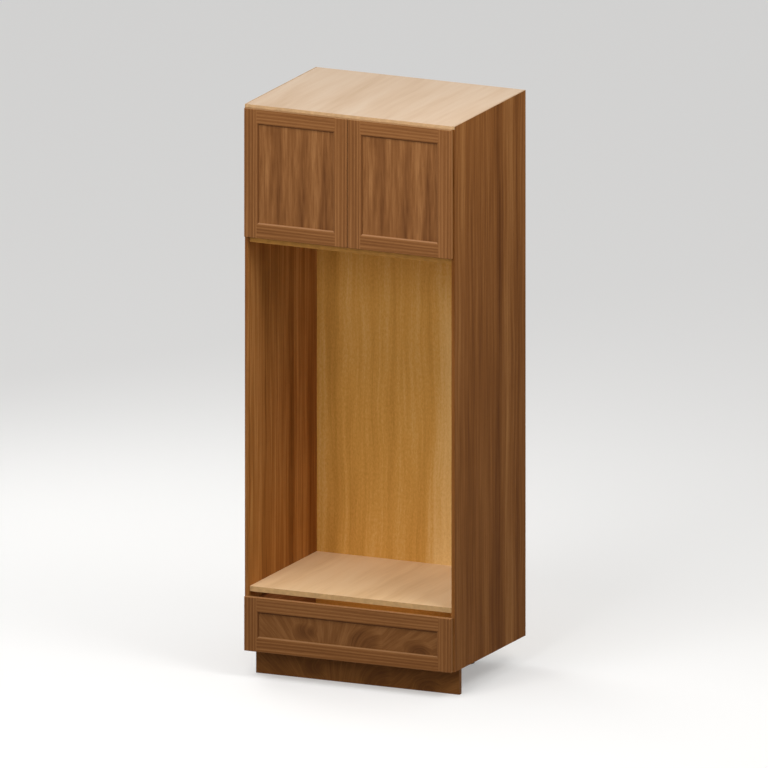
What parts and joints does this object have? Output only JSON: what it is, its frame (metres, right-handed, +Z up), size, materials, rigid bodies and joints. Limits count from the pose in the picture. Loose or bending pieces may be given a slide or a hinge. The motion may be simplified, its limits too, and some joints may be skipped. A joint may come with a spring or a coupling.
{
  "type": "kitchen tower cabinet with open niche",
  "caption": "Tall frameless kitchen tower: framed doors on concealed hinges over a large open niche, a drawer on runners below, levelling feet and a recessed toe-kick.",
  "frame": {"origin": "on the floor, under the middle of the whole box", "axes": "+Z up, the doors and drawer face -Y, +X to the right of someone who faces them"},
  "size_m": [0.8382, 0.639, 2.142],
  "materials": {
    "walnut_veneer": "satin walnut with straight and arched grain",
    "maple_veneer": "satin clear-coated maple",
    "nickel_steel": "nickel-plated pressed steel",
    "zinc_steel": "zinc-plated rolled steel",
    "screw_steel": "plated screw steel",
    "black_plastic": "matt moulded plastic"
  },
  "bodies": {
    "carcass": {"left_side_panel": "walnut_veneer", "right_side_panel": "walnut_veneer", "top_panel": "maple_veneer", "bottom_panel": "maple_veneer", "upper_shelf": "maple_veneer", "niche_shelf": "maple_veneer", "back_panel": "maple_veneer", "top_nailer": "maple_veneer", "bottom_nailer": "maple_veneer", "toe_kick_board": "walnut_veneer", "toe_kick_clips": "black_plastic", "leg_sockets": "black_plastic", "leg_socket_screws": "screw_steel", "left_hinge_arms": "nickel_steel", "right_hinge_arms": "nickel_steel", "hinge_plates": "nickel_steel", "hinge_plate_screws": "screw_steel", "left_runner_rail": "zinc_steel", "right_runner_rail": "zinc_steel", "runner_rail_screws": "screw_steel"},
    "drawer": {"drawer_front_left_stile": "walnut_veneer", "drawer_front_right_stile": "walnut_veneer", "drawer_front_top_rail": "walnut_veneer", "drawer_front_bottom_rail": "walnut_veneer", "drawer_front_panel": "walnut_veneer", "drawer_left_side": "walnut_veneer", "drawer_right_side": "walnut_veneer", "drawer_box_front": "maple_veneer", "drawer_box_back": "maple_veneer", "drawer_bottom": "maple_veneer", "left_runner_slide": "zinc_steel", "right_runner_slide": "zinc_steel", "runner_slide_screws": "screw_steel", "drawer_front_screws": "screw_steel"},
    "runner_middles": {"left_runner_middle": "zinc_steel", "right_runner_middle": "zinc_steel"},
    "left_links": {"left_hinge_links": "nickel_steel", "left_hinge_pins": "screw_steel"},
    "left_door": {"left_door_hinge_stile": "walnut_veneer", "left_door_lock_stile": "walnut_veneer", "left_door_top_rail": "walnut_veneer", "left_door_bottom_rail": "walnut_veneer", "left_door_panel": "walnut_veneer", "left_hinge_cups": "nickel_steel", "left_cup_screws": "screw_steel"},
    "right_links": {"right_hinge_links": "nickel_steel", "right_hinge_pins": "screw_steel"},
    "right_door": {"right_door_hinge_stile": "walnut_veneer", "right_door_lock_stile": "walnut_veneer", "right_door_top_rail": "walnut_veneer", "right_door_bottom_rail": "walnut_veneer", "right_door_panel": "walnut_veneer", "right_hinge_cups": "nickel_steel", "right_cup_screws": "screw_steel"},
    "front_left_foot": {"front_left_foot": "black_plastic"},
    "front_right_foot": {"front_right_foot": "black_plastic"},
    "back_left_foot": {"back_left_foot": "black_plastic"},
    "back_right_foot": {"back_right_foot": "black_plastic"}
  },
  "joints": [
    {"name": "left_link_swing", "type": "hinge", "parent": "carcass", "child": "left_links", "pos_m": [-0.3828, -0.3074, 1.8905], "axis": [0, 0, 1], "range_deg": [0, 38.2]},
    {"name": "left_door_swing", "type": "hinge", "parent": "left_links", "child": "left_door", "pos_m": [-0.4015, -0.3031, 1.8905], "axis": [0, 0, -1], "range_deg": [0, 132]},
    {"name": "right_link_swing", "type": "hinge", "parent": "carcass", "child": "right_links", "pos_m": [0.3828, -0.3074, 1.8905], "axis": [0, 0, -1], "range_deg": [0, 38.2]},
    {"name": "right_door_swing", "type": "hinge", "parent": "right_links", "child": "right_door", "pos_m": [0.4015, -0.3031, 1.8905], "axis": [0, 0, 1], "range_deg": [0, 132]},
    {"name": "drawer_slide", "type": "slide", "parent": "carcass", "child": "drawer", "axis": [0, -1, 0], "range_m": [0, 0.5]},
    {"name": "runner_middle_slide", "type": "slide", "parent": "carcass", "child": "runner_middles", "axis": [0, -1, 0], "range_m": [0, 0.251]},
    {"name": "front_left_foot_screw", "type": "slide", "parent": "carcass", "child": "front_left_foot", "axis": [0, 0, -1], "range_m": [0, 0.022]},
    {"name": "front_right_foot_screw", "type": "slide", "parent": "carcass", "child": "front_right_foot", "axis": [0, 0, -1], "range_m": [0, 0.022]},
    {"name": "back_left_foot_screw", "type": "slide", "parent": "carcass", "child": "back_left_foot", "axis": [0, 0, -1], "range_m": [0, 0.022]},
    {"name": "back_right_foot_screw", "type": "slide", "parent": "carcass", "child": "back_right_foot", "axis": [0, 0, -1], "range_m": [0, 0.022]}
  ],
  "couplings": [
    {"joint": "left_link_swing", "follows": "left_door_swing", "ratio": 0.28826},
    {"joint": "right_link_swing", "follows": "right_door_swing", "ratio": 0.28826},
    {"joint": "runner_middle_slide", "follows": "drawer_slide", "ratio": 0.5}
  ]
}
